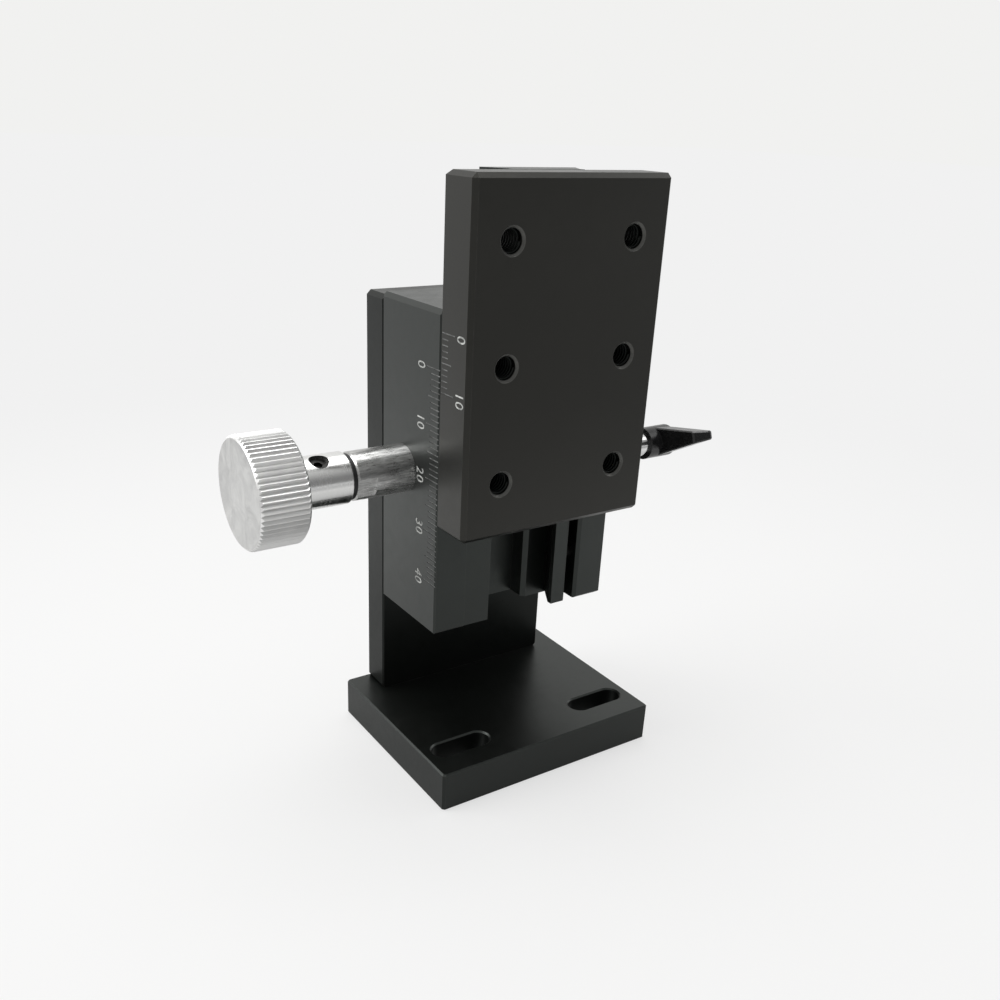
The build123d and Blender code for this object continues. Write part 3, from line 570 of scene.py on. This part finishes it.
# ---------------------------------------------------------------- floor, light and camera
def pale_floor():
    """A wide pale floor that stays nearly white and still takes the object's soft shadow."""
    nothing_selected()
    bpy.ops.mesh.primitive_plane_add(size=8.0, location=(0, 0, 0))
    floor = bpy.context.object
    floor.name = "floor"
    material = bpy.data.materials.new("pale_floor")
    material.use_nodes = True
    board = NodeBoard(material.node_tree)
    output = board.add("ShaderNodeOutputMaterial")
    matt = board.add("ShaderNodeBsdfDiffuse")
    matt.inputs["Color"].default_value = (0.80, 0.80, 0.79, 1)
    glow = board.add("ShaderNodeEmission")
    place = board.add("ShaderNodeNewGeometry")
    parts = board.add("ShaderNodeSeparateXYZ")
    board.join(place, "Position", parts, 0)
    reach = board.add("ShaderNodeVectorMath", operation="LENGTH")
    board.join(place, "Position", reach, 0)
    path = board.add("ShaderNodeLightPath")

    # What reflections see: painted shade, a band that darkens towards the front, a painted shadow round
    # the object's foot and a dimmer floor far out
    forward = board.spread(parts, "Y", 0.0, 1.0, -0.8, 0.0)
    painted_front_shade_band = board.ramp(forward, "Result", (0.10, grey(1.0)), (0.60, grey(0.66)), (0.72, grey(0.45)),
                           (0.80, grey(0.52)), (0.93, grey(1.0)))
    painted_shade_by_distance = board.ramp(reach, "Value", (0.03, grey(0.38)), (0.05, grey(0.46)), (0.085, grey(0.56)),
                      (0.14, grey(1.0)), (0.36, (0.72, 0.72, 0.71)))
    painted_reflection_shade = board.maths("MULTIPLY", (painted_front_shade_band, "Color"), (painted_shade_by_distance, "Color"))
    tone = board.add("ShaderNodeMix", data_type="FLOAT")
    seen_level = 0.88
    tone.inputs[3].default_value = seen_level
    board.join(path, "Is Camera Ray", tone, 0)
    board.join(painted_reflection_shade, "Value", tone, 2)
    board.join(tone, 0, glow, "Color")

    # Near the object the floor is partly matt, so that its shadow shows
    seen = board.maths("MAXIMUM", (path, "Is Camera Ray"), (path, "Is Glossy Ray"))
    far = board.spread(reach, "Value", 0.72, 1.0, 0.04, 0.32)
    far.interpolation_type = "SMOOTHSTEP"
    share = board.maths("MULTIPLY", (seen, "Value"), (far, "Result"))
    mix = board.add("ShaderNodeMixShader")
    board.join(share, "Value", mix, 0)
    board.join(matt, 0, mix, 1)
    board.join(glow, 0, mix, 2)
    board.join(mix, 0, output, "Surface")
    floor.data.materials.append(material)


def studio_world():
    """White to the camera and to reflections towards the back, greyer behind the camera."""
    world = bpy.data.worlds.new("studio")
    scene.world = world
    world.use_nodes = True
    board = NodeBoard(world.node_tree)
    output = board.add("ShaderNodeOutputWorld")

    def background(colour, strength):
        node = board.add("ShaderNodeBackground")
        node.inputs["Color"].default_value = (*colour, 1)
        node.inputs["Strength"].default_value = strength
        return node

    def either(factor, out, first, second):
        node = board.add("ShaderNodeMixShader")
        board.join(factor, out, node, 0)
        board.join(first, 0, node, 1)
        board.join(second, 0, node, 2)
        return node

    air = background(grey(1.0), 0.42)
    backdrop = background((0.88, 0.88, 0.87), 1.0)
    room = background(grey(1.0), 1.0)
    where = board.add("ShaderNodeTexCoord")
    towards = board.add("ShaderNodeVectorMath", operation="DOT_PRODUCT")
    towards.inputs[1].default_value = (-0.28, 0.80, 0.50)
    board.join(where, "Generated", towards, 0)
    share = board.maths("MULTIPLY_ADD", (towards, "Value"), 0.5, 0.5)
    shade = board.ramp(share, "Value", (0.20, grey(0.20)), (0.62, (0.80, 0.80, 0.79)))
    board.join(shade, "Color", room, "Color")
    path = board.add("ShaderNodeLightPath")
    shiny = board.maths("MAXIMUM", (path, "Is Glossy Ray"), (path, "Is Transmission Ray"))
    lighting = either(shiny, "Value", air, room)
    board.join(either(path, "Is Camera Ray", lighting, backdrop), 0, output, "Surface")


def softbox(name, place, width, height, watts):
    """A rectangular lamp that looks at the middle of the object."""
    aim = Vector((0, 0, 60 * MM))
    lamp = bpy.data.lights.new(name, "AREA")
    lamp.shape = "RECTANGLE"
    lamp.size = width
    lamp.size_y = height
    lamp.energy = watts
    holder = bpy.data.objects.new(name, lamp)
    scene.collection.objects.link(holder)
    holder.location = place
    holder.rotation_euler = (aim - Vector(place)).to_track_quat("-Z", "Y").to_euler()


def fitted_camera():
    """The camera in its fitted place, with the frame's shift."""
    lens = bpy.data.cameras.new("camera")
    lens.sensor_width = 36.0
    lens.lens = 36.257
    lens.shift_x = 0.03
    lens.shift_y = 0.06977
    lens.clip_start = 0.01
    camera = bpy.data.objects.new("camera", lens)
    scene.collection.objects.link(camera)
    camera.location = (-0.107229, -0.149343, 0.119317)
    camera.rotation_euler = [math.radians(angle) for angle in (65.636, -2.048, -32.752)]
    scene.camera = camera


pale_floor()
studio_world()
softbox("key_left", (-0.75, 0.30, 0.55), 0.7, 0.7, 6.0)
softbox("top", (0.05, 0.25, 0.95), 0.9, 0.6, 7.0)
softbox("fill_right", (0.80, -0.20, 0.45), 0.5, 0.7, 1.5)
fitted_camera()

scene.view_settings.view_transform = "Standard"
